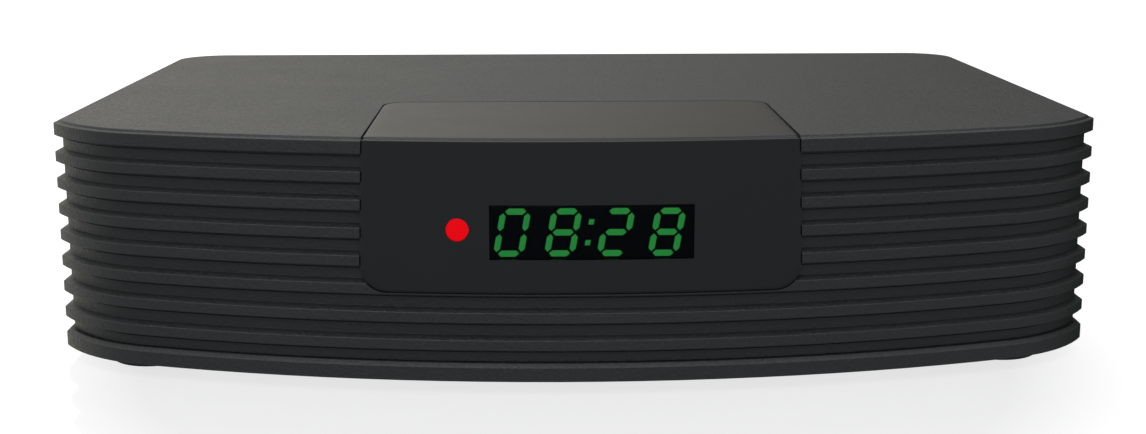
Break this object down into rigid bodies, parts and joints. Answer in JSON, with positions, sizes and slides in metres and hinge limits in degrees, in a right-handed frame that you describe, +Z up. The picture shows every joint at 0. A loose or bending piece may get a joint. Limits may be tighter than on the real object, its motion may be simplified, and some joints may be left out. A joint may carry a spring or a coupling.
{
  "type": "satellite tv receiver",
  "caption": "Low set-top satellite receiver with a bowed front, ribbed walls, a smooth bezel with a clock display and indicator, round feet, and rear sockets with a rocker switch.",
  "frame": {"origin": "on the plane that the feet rest on, under the middle of the bounding box", "axes": "+X to the right as the front is looked at, +Y to the back, +Z up"},
  "size_m": [0.168, 0.129, 0.0393],
  "materials": {
    "casing_plastic": "fine spark-eroded grain",
    "bezel_plastic": "smooth satin",
    "tinted_window": "polished, see-through dark tint",
    "green_segments": "lit",
    "dark_segments": "unlit",
    "display_body": "plain black",
    "red_lens": "lit, clear red",
    "clear_resin": "clear",
    "eye_resin": "dark see-through resin",
    "board_laminate": "green solder mask over glass fibre",
    "black_moulding": "moulded",
    "white_insulator": "moulded",
    "orange_insulator": "moulded",
    "rubber_feet": "moulded",
    "plated_steel": "tin plated sheet",
    "nickel_brass": "nickel plated brass",
    "zinc_screws": "zinc plated",
    "gold_contacts": "plated",
    "extruded_aluminium": "plain extruded",
    "panel_steel": "powder coated sheet",
    "chip_epoxy": "moulded epoxy",
    "pad_silicone": "soft silicone",
    "ferrite": "pressed powder",
    "ceramic": "fired ceramic",
    "rocker_plastic": "moulded"
  },
  "bodies": {
    "receiver": {"aerial_contacts": "gold_contacts", "aerial_insulators": "white_insulator", "aerial_nuts": "nickel_brass", "aerial_shells": "nickel_brass", "aerial_washers": "zinc_screws", "av_jack": "black_moulding", "base_tray": "casing_plastic", "board_screws": "zinc_screws", "case_screws": "zinc_screws", "ceramic_capacitors": "ceramic", "crystal": "plated_steel", "dark_segments": "dark_segments", "data_socket": "plated_steel", "data_tongue": "black_moulding", "display_module": "display_body", "display_window": "tinted_window", "flash_chip": "chip_epoxy", "foot_back_left": "rubber_feet", "foot_back_right": "rubber_feet", "foot_front_left": "rubber_feet", "foot_front_right": "rubber_feet", "front_bezel": "bezel_plastic", "front_board": "board_laminate", "heat_sink": "extruded_aluminium", "indicator_lamp": "clear_resin", "indicator_lens": "red_lens", "large_capacitors": "extruded_aluminium", "link_header": "black_moulding", "link_pins": "gold_contacts", "lit_segments": "green_segments", "main_board": "board_laminate", "main_chip": "chip_epoxy", "memory_chips": "chip_epoxy", "network_contacts": "gold_contacts", "network_jack": "black_moulding", "phono_block": "black_moulding", "phono_insert": "orange_insulator", "phono_shell": "nickel_brass", "power_coils": "ferrite", "power_jack": "black_moulding", "power_pin": "nickel_brass", "rear_panel": "panel_steel", "regulators": "chip_epoxy", "remote_eye": "eye_resin", "small_capacitors": "extruded_aluminium", "switch_housing": "black_moulding", "switch_terminals": "nickel_brass", "thermal_pad": "pad_silicone", "top_cover": "casing_plastic", "tuner_chip": "chip_epoxy", "tuner_frame": "plated_steel", "tuner_lid": "plated_steel", "video_socket": "plated_steel", "video_tongue": "black_moulding"},
    "rocker": {"power_rocker": "rocker_plastic"}
  },
  "joints": [
    {"name": "rocker_tilt", "type": "hinge", "parent": "receiver", "child": "rocker", "pos_m": [-0.06125, 0.05415, 0.0201], "axis": [-1, 0, 0], "range_deg": [0, 20]}
  ]
}
